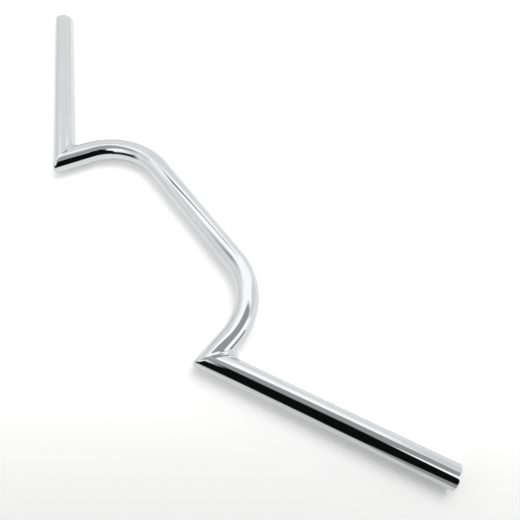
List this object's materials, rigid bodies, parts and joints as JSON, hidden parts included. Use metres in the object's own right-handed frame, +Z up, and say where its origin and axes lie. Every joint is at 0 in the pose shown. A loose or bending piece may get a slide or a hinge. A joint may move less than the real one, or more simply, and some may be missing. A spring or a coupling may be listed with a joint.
{
  "type": "flat handlebar",
  "caption": "Chromed tube handlebar that lies in one plane: a straight middle for the clamp, bends to forward risers, and grip tubes mitred and welded on to sweep back.",
  "frame": {"origin": "on the axis of the centre tube, midway between its bends, where the clamp holds it", "axes": "+X along the straight middle towards the rider's right, +Y forwards, +Z up and square to the plane of the bar"},
  "size_m": [0.6597, 0.1244, 0.0222],
  "materials": {
    "chrome_plate": "polished"
  },
  "bodies": {
    "root": {"centre_tube": "chrome_plate", "left_grip_tube": "chrome_plate", "right_grip_tube": "chrome_plate", "left_corner_weld": "chrome_plate", "right_corner_weld": "chrome_plate"}
  },
  "joints": []
}
